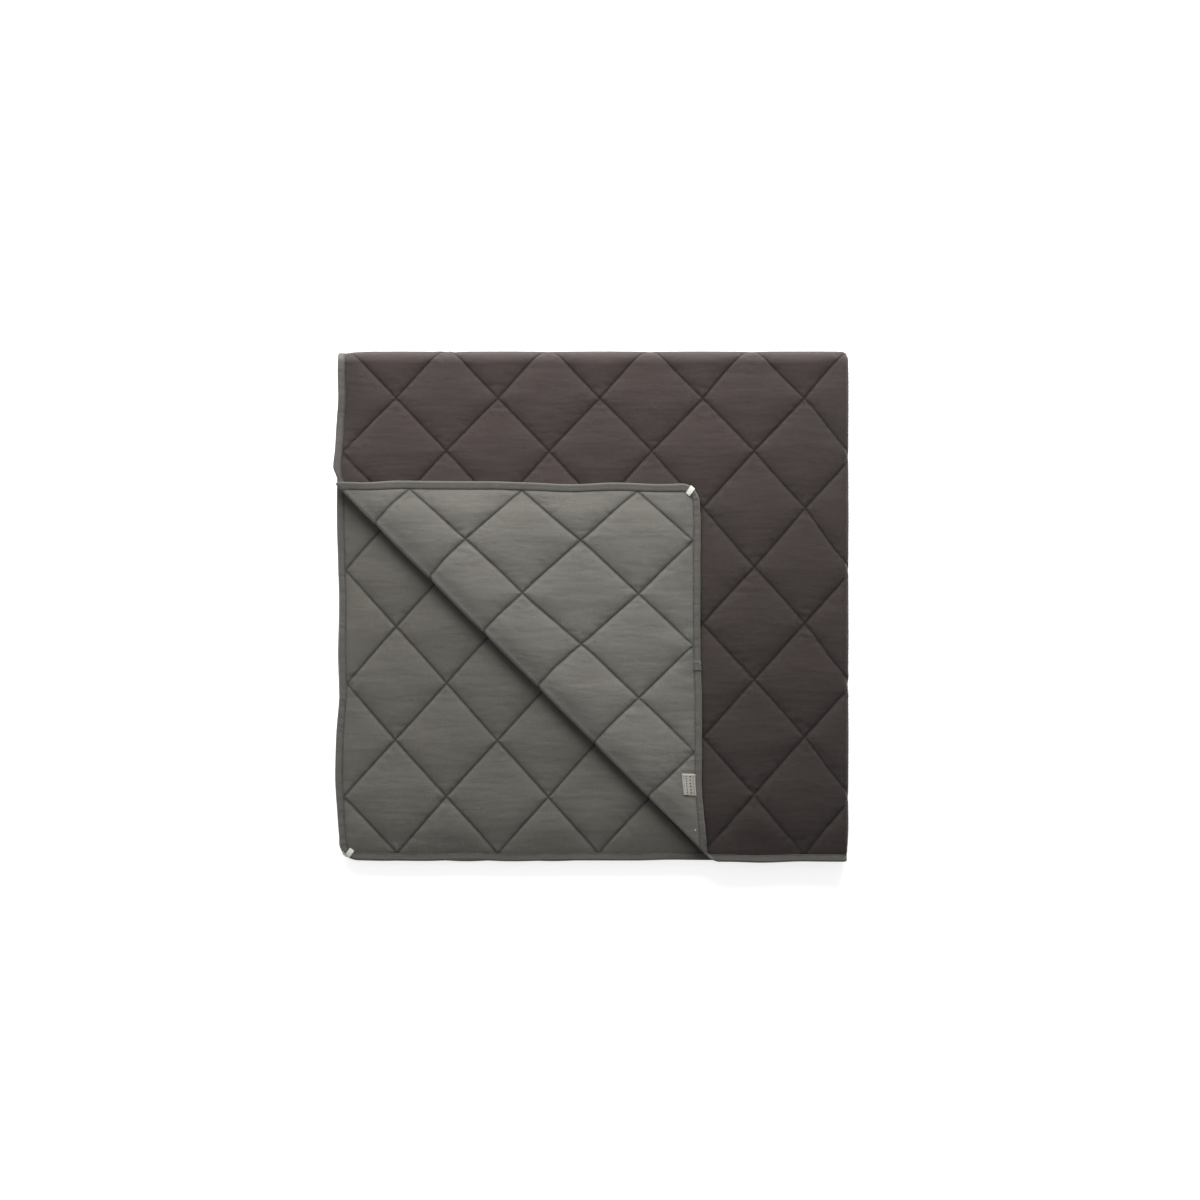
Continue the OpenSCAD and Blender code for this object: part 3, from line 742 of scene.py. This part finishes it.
edge = rounded(CLOTH_MARGIN)
sides, near_corner = edge[:4], edge[4:12]
upper = cut_mesh(*quilt_grid(-HALF, OPEN_X, -HALF, END_Y), UPPER + edge, SIDE_CUTS)
lower = cut_mesh(*quilt_grid(-HALF, OPEN_X, END_FAR_Y, OPEN_Y), LOWER + edge, SIDE_CUTS)
flap = cut_mesh(*quilt_grid(-HALF, FLAP_REACH, -HALF, FLAP_REACH), FLAP + sides + near_corner)
roll = cut_mesh(*quilt_grid(-HALF, ROLL_REACH, -HALF, ROLL_REACH), ROLL + sides, ROLL_CUTS)
end = cut_mesh(*quilt_grid(-HALF, OPEN_X, END_Y, END_FAR_Y), END + edge[:2], END_CUTS)

upper_face = cloth("upper_half_face_cloth", 0, upper)
upper_lining = cloth("upper_half_lining", 1, upper)
lower_face = cloth("lower_half_face_cloth", 0, lower)
lower_lining = cloth("lower_half_lining", 1, lower)
flap_face = cloth("turned_corner_face_cloth", 0, flap, swap=True)
flap_lining = cloth("turned_corner_lining", 1, flap, swap=True)
end_face = cloth("end_fold_face", 0, end, keep=LEFT_OF_FOLD)
end_face_inner = cloth("end_fold_face_inner", 0, end, keep=RIGHT_OF_FOLD)
end_lining = cloth("end_fold_inner_lining", 1, end)
roll_face = cloth("corner_roll_face", 0, roll, swap=True)
roll_lining = cloth("corner_roll_lining", 1, roll, swap=True)

# ---- Binding tape ----


def outline(step):
    """Points round the outer edge of the open blanket, their inward direction, and the length."""
    w, h, r = OPEN_X + HALF, OPEN_Y + HALF, CORNER_R
    points, inward = [], []
    runs = [((-HALF + r, -HALF), (1, 0), w - 2 * r), ((OPEN_X, -HALF + r), (0, 1), h - 2 * r),
            ((OPEN_X - r, OPEN_Y), (-1, 0), w - 2 * r), ((-HALF, OPEN_Y - r), (0, -1), h - 2 * r)]
    for (px, py), (dx, dy), length in runs:
        n = (-dy, dx)
        for t in np.arange(0, length - step / 4, length / round(length / step)):
            points.append((px + dx * t, py + dy * t))
            inward.append(n)
        ex, ey = px + dx * length, py + dy * length
        count = round(math.pi / 2 * r / step * 1.3)
        for a in np.arange(count) / count * math.pi / 2:
            nx = n[0] * math.cos(a) - n[1] * math.sin(a)
            ny = n[0] * math.sin(a) + n[1] * math.cos(a)
            points.append((ex + n[0] * r - nx * r, ey + n[1] * r - ny * r))
            inward.append((nx, ny))
    points, inward = np.array(points), np.array(inward)
    lengths = np.r_[0, np.cumsum(np.hypot(*np.diff(points, axis=0).T))]
    return points, inward, lengths


PATH, INWARD, ALONG = outline(1.9)
# The tape's section: distance in from the blanket's outer edge, and height. The stitching is in
# the dip near its inner edge.
HALF_SECTION = [(11.0, 1.35), (10.7, 1.95), (9.9, 2.05), (9.2, 1.85), (8.4, 2.2), (6.9, 2.3),
                (5.2, 2.05), (3.4, 2.6), (1.7, 2.35), (0.5, 1.35)]
SECTION = [*HALF_SECTION, (0.0, 0.0), *[(o, -g) for o, g in HALF_SECTION[::-1]]]
STITCH_INSET, STITCH_G = 9.2, 1.78


def tape_mesh():
    """The whole length of tape round the open blanket, with its small ripples."""
    rings = []
    for o, g in SECTION:
        face_side = g > 0
        ripple = noise1(ALONG / 4.2 + 7, 5 if face_side else 6) * 0.30 * (o < 10) * (abs(g) > 0.5)
        ripple += noise1(ALONG / 26 + 3, 7 if face_side else 8) * 0.2 * (o < 10)
        width = o + (0.45 * noise1(ALONG / 9 + 5, 9 if face_side else 10) if o > 10 else 0)
        rings.append(np.column_stack([PATH + INWARD * np.reshape(width, (-1, 1)),
                                      g + np.sign(g) * ripple]))
    points = np.stack(rings, 1).reshape(-1, 3)
    count, n = len(PATH), len(SECTION)
    i, j = np.meshgrid(np.arange(count), np.arange(n), indexing="ij")
    i2, j2 = (i + 1) % count, (j + 1) % n
    quads = np.stack([i * n + j, i2 * n + j, i2 * n + j2, i * n + j2], -1).reshape(-1, 4)
    return points, quads


def tape_painted_light(inset):
    """Painted shade: the tape is darker towards its inner edge, past the dip of its stitching."""
    return np.clip((10.6 - inset) / 3 + 0.1, 0, 0.7)


TAPE_MESH = tape_mesh()


def tape(name, planes, material=TAPE):
    points, faces = cut_mesh(*TAPE_MESH, planes)
    x, y, _ = points.T
    inset = np.minimum.reduce([x + HALF, OPEN_X - x, y + HALF, OPEN_Y - y])
    # The tape's colour is painted darker towards its inner edge: painted shade.
    new_object(name, points, faces, material, painted_light=tape_painted_light(inset))


tape("upper_half_binding", UPPER)
tape("lower_half_binding", LOWER)
tape("turned_corner_binding", FLAP, TAPE_TURNED)
tape("end_fold_left_binding", END + LEFT_OF_FOLD)
tape("end_fold_hidden_binding", END + RIGHT_OF_FOLD)
tape("corner_roll_left_binding", ROLL + BEHIND_TIP, TAPE_TURNED)
tape("corner_roll_front_binding", ROLL + BEFORE_TIP, TAPE_TURNED)


# ---- Thread ----

# One stitch: place along it, across it and out of the cloth, with the last two in thread radii.
BEAD = ((0, 0, -0.15), (0.22, 1, 0), (0.22, 0, 1), (0.22, -1, 0), (0.22, 0, -0.7),
        (0.78, 1, 0), (0.78, 0, 1), (0.78, -1, 0), (0.78, 0, -0.7), (1, 0, -0.15))
BEAD_FACES = [(0, 1, 2, 2), (0, 2, 3, 3), (0, 3, 4, 4), (0, 4, 1, 1), (1, 5, 6, 2), (2, 6, 7, 3),
              (3, 7, 8, 4), (4, 8, 5, 1), (5, 9, 6, 6), (6, 9, 7, 7), (7, 9, 8, 8), (8, 9, 5, 5)]


def thread_mesh(ends, g, name, material, radius=0.36, lift=0.22):
    """One small bead of thread for each stitch. ends is n x 4: both ends on the open blanket."""
    a, b = ends[:, :2], ends[:, 2:]
    way = unit(b - a)
    across = np.column_stack([-way[:, 1], way[:, 0]])
    sign = np.sign(g)
    rows = []
    for t, w, z in BEAD:
        p = a + (b - a) * t + across * w * radius
        rows.append(np.column_stack([p, g + sign * (lift + z * radius)]))
    points = np.stack(rows, 1).reshape(-1, 3)
    first = len(BEAD) * np.arange(len(a))[:, None, None]
    faces = (np.array(BEAD_FACES)[None] + first).reshape(-1, 4)
    faces = [f[:3] if f[2] == f[3] else f for f in faces.tolist()]
    new_object(name, points, faces, material)


def quilting_lines(pitch=3.1, length=2.3):
    """The ends of every quilting stitch on the open blanket."""
    to_next = math.hypot(QX, QY) / 2
    u_range, v_range = (-1, 39), (-19, 21)
    stitches = []
    for falling, (first, last), (a, b) in ((True, u_range, v_range), (False, v_range, u_range)):
        for line in range(first, last + 1, 2):
            start = np.arange(a, b, pitch / to_next)
            ends = []
            for along in (start, start + length / to_next):
                across = np.full_like(along, line)
                u, v = (across, along) if falling else (along, across)
                ends.append(np.column_stack([START + QX * (u + v) / 2, START + QY * (u - v) / 2]))
            stitches.append(np.hstack(ends))
    stitches = np.vstack(stitches)
    keep = np.ones(len(stitches), bool)
    for k in (0, 2):
        _, x, y = quarter(stitches[:, k], stitches[:, k + 1])
        keep &= edge_distance(x, y) > BIND + 0.2
    return stitches[keep]


def tape_stitches(pitch=3.1, length=2.2):
    """The ends of every stitch along the binding."""
    start = np.arange(0, ALONG[-1], pitch)
    ends = []
    for t in (start, start + length):
        p = np.column_stack([np.interp(t, ALONG, PATH[:, i]) for i in (0, 1)])
        n = np.column_stack([np.interp(t, ALONG, INWARD[:, i]) for i in (0, 1)])
        ends.append(p + unit(n) * STITCH_INSET)
    return np.hstack(ends)


QUILTING, TAPE_STITCHES = quilting_lines(), tape_stitches()


def stitches_in(stitches, planes, first_end):
    """The stitches that lie wholly inside the planes, so none reaches over a joint."""
    on = inside(planes, *stitches[:, :2].T) & inside(planes, *stitches[:, 2:].T)
    return stitches[on & inside(first_end, *stitches[:, :2].T)]


def thread(name, side, planes, first_end=()):
    ends = stitches_in(QUILTING, planes, first_end)
    h, *_ = heights(side, *((ends[:, :2] + ends[:, 2:]) / 2).T)
    h = np.minimum(h, STITCH_H + 0.35)
    thread_mesh(ends, h if side == 0 else -h, name, LINING_THREAD if side else FACE_THREAD)


def tape_thread(name, side, planes, first_end=()):
    ends = stitches_in(TAPE_STITCHES, planes, first_end)
    g = np.full(len(ends), STITCH_G if side == 0 else -STITCH_G)
    thread_mesh(ends, g, name, LINING_THREAD, lift=0.2)


def thread_end():
    """The fastened-off end of the binding's stitching, on the turned corner's lining."""
    x, y = TIP - HALF + 332, START + 5.6
    h, *_ = heights(1, x, y)
    ends = np.array([(x - 1.1, y, x + 1.1, y + 0.5), (x - 0.5, y - 0.9, x + 0.6, y + 1.1)])
    thread_mesh(ends, np.full(2, -max(float(h), 1.2)), "fastened_thread_end", LOOP, radius=0.95,
                lift=0.1)


for body, planes in (("upper_half", UPPER), ("lower_half", LOWER), ("turned_corner", FLAP)):
    thread(f"{body}_face_quilting_thread", 0, planes)
    thread(f"{body}_lining_quilting_thread", 1, planes)
    tape_thread(f"{body}_binding_stitching", 0, planes)
    tape_thread(f"{body}_binding_stitching_lining_side", 1, planes)
# Only the end fold's outer half has thread that shows.
thread("end_fold_quilting_thread", 0, END, LEFT_OF_FOLD)
tape_thread("end_fold_binding_stitching", 0, END, LEFT_OF_FOLD)
thread("corner_roll_quilting_thread", 1, ROLL)
tape_thread("corner_roll_binding_stitching", 1, ROLL)

# ---- Corner loops ----

LOOP_WIDTH = 8.0
# The way over one side of the binding: distance from the rounded corner's centre, and height.
HALF_LOOP = [(15.3, 2.25), (16.4, 2.62), (19, 2.85), (22, 2.95), (25, 2.8), (27.3, 2.35),
             (28.6, 1.45)]
LOOP_PATH = np.array([*HALF_LOOP, (29.1, 0), *[(a, -b) for a, b in HALF_LOOP[::-1]]])
# Places across the loop's tape, and half its thickness there.
LOOP_ACROSS = np.array([-1, -0.93, -0.6, -0.2, 0.2, 0.6, 0.93, 1]) * LOOP_WIDTH / 2
LOOP_THICK = np.array([0.12, 0.34, 0.38, 0.36, 0.36, 0.38, 0.34, 0.12])


def loop(name, corner_x, corner_y, turn):
    """Tape that wraps the rounded corner, a turn in degrees round from the side edge."""
    cx = -HALF + CORNER_R if corner_x < 0 else OPEN_X - CORNER_R
    cy = -HALF + CORNER_R if corner_y < 0 else OPEN_Y - CORNER_R
    angle = math.radians(turn)
    d = np.array([corner_x * math.cos(angle), corner_y * math.sin(angle)])
    n = np.array([-d[1], d[0]])
    slope = unit(np.gradient(LOOP_PATH, axis=0))
    out = np.column_stack([-slope[:, 1], slope[:, 0]])
    lean = np.random.default_rng(int(5 + corner_x * 2 + corner_y)).uniform(-0.5, 0.5)
    rows, cols = len(LOOP_PATH), 2 * len(LOOP_ACROSS)
    points = []
    for k, place in enumerate(LOOP_PATH):
        for sign in (1, -1):
            for m in range(len(LOOP_ACROSS))[::sign]:
                r, g = place + out[k] * sign * LOOP_THICK[m]
                skew = LOOP_ACROSS[m] + lean * (k / (rows - 1) - 0.5) * 2
                points.append((*(np.array([cx, cy]) + d * r + n * skew), g))
    points = np.array(points)
    faces = [[a * cols + b, a * cols + (b + 1) % cols, (a + 1) * cols + (b + 1) % cols,
              (a + 1) * cols + b] for a in range(rows - 1) for b in range(cols)]
    faces += [list(range(cols))[::-1], [(rows - 1) * cols + b for b in range(cols)]]
    flat = np.array([[k * 2.2, LOOP_ACROSS[m % 8], 0] for k in range(rows) for m in range(cols)])
    rounder = new_object(name, points, faces, LOOP, flat).modifiers.new("Rounded", "SUBSURF")
    rounder.levels = rounder.render_levels = 2


loop("turned_corner_loop", -1, -1, 39)
loop("second_layer_loop", 1, -1, 51)
loop("bottom_layer_loop", -1, 1, 46)
loop("third_layer_loop", 1, 1, 43)

# ---- Label and binding join ----

# The flap's right edge is the open blanket's front edge. Both lie further back than in the CAD.
label_low, label_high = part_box("woven_label")
LABEL_X = TIP - HALF - (label_low.y + label_high.y) / 2 / MM - 10
LABEL_W, LABEL_LEN = (label_high.x - label_low.x) / MM, (label_high.y - label_low.y) / MM
LABEL_TUCK = 1.2  # how far the label is tucked in under the binding
LABEL_THICK = 0.55
LABEL_LIFT = 0.25
join_low, join_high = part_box("binding_join")
JOIN_X = TIP - HALF - (join_low.y + join_high.y) / 2 / MM - 3
JOIN_LEN = (join_high.y - join_low.y) / MM


def label_height(x, y, u, v):
    """Height of the label over the lining, with its free end a little raised. u runs along the
    binding from -1 to 1, and v away from it from 0 to 1."""
    h, *_ = heights(1, x, y)
    base = np.maximum(h, 1.6) + 0.35 + 0.9 * smooth((v - 0.25) / 0.75) ** 2
    return base + 0.25 * np.sin(u * 2.3 + 0.6) * v


def woven_label():
    """A folded woven label, sewn in along the binding."""
    nx, ny = 34, 22
    u, v = np.meshgrid(np.linspace(-1, 1, nx), np.linspace(0, 1, ny), indexing="ij")
    x = LABEL_X + u * LABEL_LEN / 2 * (1 - 0.012 * (v > 0.97))
    y = START - LABEL_TUCK + v * (LABEL_W + 1.0)
    base = label_height(x, y, u, v)
    rim_share = 1 - np.minimum(1, np.minimum(1 - np.abs(u), 1 - v) * 14)
    thick = LABEL_THICK - 0.3 * rim_share ** 2
    points = np.vstack([np.stack([x, y, -(base + sign * thick / 2 + LABEL_LIFT)],
                                 -1).reshape(-1, 3) for sign in (1, -1)])
    index = np.arange(nx * ny).reshape(nx, ny)
    quads = grid_quads(index)
    faces = quads.tolist() + (quads[:, ::-1] + nx * ny).tolist()
    rim = [*index[:, 0], *index[-1, 1:], *index[-2::-1, -1], *index[0, -2:0:-1]]
    for a, b in zip(rim, rim[1:] + rim[:1]):
        faces.append([int(a), int(b), int(b) + nx * ny, int(a) + nx * ny])
    flat = points * (1, 1, 0) - (LABEL_X, START, 0)
    new_object("woven_label_detailed", points, faces, LABEL, flat)


def label_motif():
    """Raised threads on the label: two rows of small lozenges between two bars."""
    ends = []
    for row, count, size in ((7.0, 6, 2.5), (13.2, 8, 1.7)):
        for k in range(count):
            cx = LABEL_X + (k / (count - 1) - 0.5) * (LABEL_LEN * 0.74)
            for t in np.linspace(-1, 1, 7):
                reach = size * (1 - abs(t)) * 0.8 + 0.12
                ends.append((cx + t * size * 0.6, START + row - reach,
                             cx + t * size * 0.6, START + row + reach))
    for row in (3.2, 17.2):
        for k in range(18):
            cx = LABEL_X + (k / 17 - 0.5) * LABEL_LEN * 0.8
            ends.append((cx - 0.55, START + row, cx + 0.55, START + row))
    ends = np.array(ends)
    x, y = ((ends[:, :2] + ends[:, 2:]) / 2).T
    u = (x - LABEL_X) / (LABEL_LEN / 2)
    v = (y - START + LABEL_TUCK) / (LABEL_W + 1.0)
    g = label_height(x, y, u, v) + LABEL_THICK / 2 + LABEL_LIFT
    thread_mesh(ends, -g, "woven_label_motif", FACE_THREAD, radius=0.2, lift=0.03)


def label_seam():
    x = LABEL_X + np.arange(-LABEL_LEN / 2 + 2, LABEL_LEN / 2 - 2.2, 2.2)
    y = np.full_like(x, START + 1.5)
    h, *_ = heights(1, x, y)
    thread_mesh(np.column_stack([x, y, x + 1.7, y]), -(np.maximum(h, 1.6) + 1.05),
                "label_seam_stitches", LINING_THREAD, radius=0.3, lift=0.05)


def binding_join():
    """The tape's end, folded under and lapped over its beginning."""
    rings, n = 15, len(SECTION)
    points = []
    for k in range(rings):
        t = k / (rings - 1)
        x = JOIN_X + (t - 0.5) * JOIN_LEN
        grow = 0.15 + 0.75 * min(1, min(t, 1 - t) * 9 + 0.15)
        for o, g in SECTION:
            out = -grow * 0.8 if o < 2 else 0
            lean = 0.9 * (o / 11 - 0.5) * (1 if t > 0.5 else -1) * 0.6
            points.append((x + lean, -HALF + o + out + (0.5 if o > 10 else 0),
                           g + np.sign(g) * grow * (0.75 if o < 10.8 else 0.4)))
    points = np.array(points)
    faces = [[a * n + b, (a + 1) * n + b, (a + 1) * n + (b + 1) % n, a * n + (b + 1) % n]
             for a in range(rings - 1) for b in range(n)]
    faces += [list(range(n)), [(rings - 1) * n + b for b in range(n)][::-1]]
    # The lap's tape is painted darker towards its inner edge too: painted shade.
    new_object("binding_join_lap", points, faces, TAPE_TURNED, painted_light=tape_painted_light(points[:, 1] + HALF))


def join_stitches():
    """The two rows of stitches that hold the lap down."""
    t = np.linspace(2.2, 9.4, 8)
    rows = []
    for x in (JOIN_X + (-JOIN_LEN / 2 + 1.6), JOIN_X + (JOIN_LEN / 2 - 1.6)):
        rows.append(np.column_stack([np.full_like(t, x), -HALF + t, np.full_like(t, x + 0.2),
                                     -HALF + t + 0.75]))
    rows = np.vstack(rows)
    thread_mesh(rows, np.full(len(rows), -3.05), "binding_join_stitches", LINING_THREAD,
                radius=0.3, lift=0.1)


thread_end()
woven_label()
label_motif()
label_seam()
binding_join()
join_stitches()

# ---- Bodies and stand-ins ----


def declare(name, slot, *nodes, body=None):
    """Hides the nodes a piece stands for and, unless it bends, hangs it on its body. slot is not
    used.
    """
    if body:
        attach(pieces[name], body)
    if nodes:
        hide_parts(*nodes)


for body, layers, side_folds, bindings in (
        ("upper_half", ("second", "top"), ("upper_side_fold",),
         ("second", "top_left", "top_front", "upper_side_fold")),
        ("lower_half", ("bottom", "third"), ("lower_side_fold",),
         ("bottom", "third", "lower_side_fold")),
        ("turned_corner", ("flap",), (), ("flap",))):
    sheets = (*layers, *side_folds)
    quilting = [f"{k}_quilting_thread" for k in layers]
    stitching = [f"{k}_binding_stitching" for k in layers]
    for part, slot, nodes in (
            ("face_cloth", "face_cloth",
             [f"{k}_{cloth_part}" for k in sheets for cloth_part in ("face_cloth", "wadding")]),
            ("lining", "lining", [f"{k}_lining" for k in sheets]),
            ("binding", "binding_tape", [f"{k}_binding" for k in bindings]),
            ("face_quilting_thread", "face_thread", quilting),
            ("lining_quilting_thread", "lining_thread", quilting),
            ("binding_stitching", "lining_thread", stitching),
            ("binding_stitching_lining_side", "lining_thread", stitching)):
        declare(f"{body}_{part}", slot, *nodes, body=body)
for name, body, slot, *nodes in (
        ("turned_corner_loop", "turned_corner", "loop_tape", "flap_corner_loop"),
        ("second_layer_loop", "upper_half", "loop_tape", "second_corner_loop"),
        ("bottom_layer_loop", "lower_half", "loop_tape", "bottom_corner_loop"),
        ("third_layer_loop", "lower_half", "loop_tape", "third_corner_loop"),
        ("woven_label_detailed", "turned_corner", "label", "woven_label"),
        ("woven_label_motif", "turned_corner", "lining_thread"),
        ("label_seam_stitches", "turned_corner", "lining_thread", "label_seam"),
        ("fastened_thread_end", "turned_corner", "lining_thread"),
        ("binding_join_lap", "turned_corner", "binding_tape", "binding_join"),
        ("binding_join_stitches", "turned_corner", "lining_thread")):
    declare(name, slot, *nodes, body=body)

# ---- Pieces that bend across the two joints ----


def bend(name):
    """Bakes the piece's place into its mesh; it hangs on no body. reach, in the table below, is
    how far from the joint's height the piece meets its two bodies, and is not used.
    """
    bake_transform(pieces[name])


for name, reach, slot, *nodes in (
        ("end_fold_face", 9.5, "face_cloth", "end_fold_face_cloth", "end_fold_wadding"),
        ("end_fold_inner_lining", 5.9, "lining", "end_fold_lining"),
        ("end_fold_left_binding", 12.0, "binding_tape", "end_fold_outer_binding"),
        ("end_fold_hidden_binding", 2.3, "binding_tape", "end_fold_inner_binding"),
        ("end_fold_quilting_thread", 15.0, "face_thread"),
        ("end_fold_binding_stitching", 15.0, "lining_thread"),
        ("corner_roll_face", 0.5, "face_cloth", "corner_fold_face_cloth", "corner_fold_wadding"),
        ("corner_roll_lining", 3.4, "lining", "corner_fold_lining"),
        ("corner_roll_left_binding", 1.6, "binding_tape", "corner_fold_left_binding"),
        ("corner_roll_front_binding", 1.6, "binding_tape", "corner_fold_front_binding"),
        ("corner_roll_quilting_thread", 3.4, "lining_thread"),
        ("corner_roll_binding_stitching", 3.4, "lining_thread")):
    declare(name, slot, *nodes)
    bend(name)
bend("end_fold_face_inner")
# Both halves are one cloth: they are joined along the middle of the side fold.
with bpy.context.temp_override(active_object=end_face, object=end_face,
                               selected_editable_objects=[end_face, end_face_inner]):
    bpy.ops.object.join()
bm = bmesh.new()
bm.from_mesh(end_face.data)
bmesh.ops.remove_doubles(bm, verts=bm.verts[:], dist=2e-6)
bm.to_mesh(end_face.data)
bm.free()
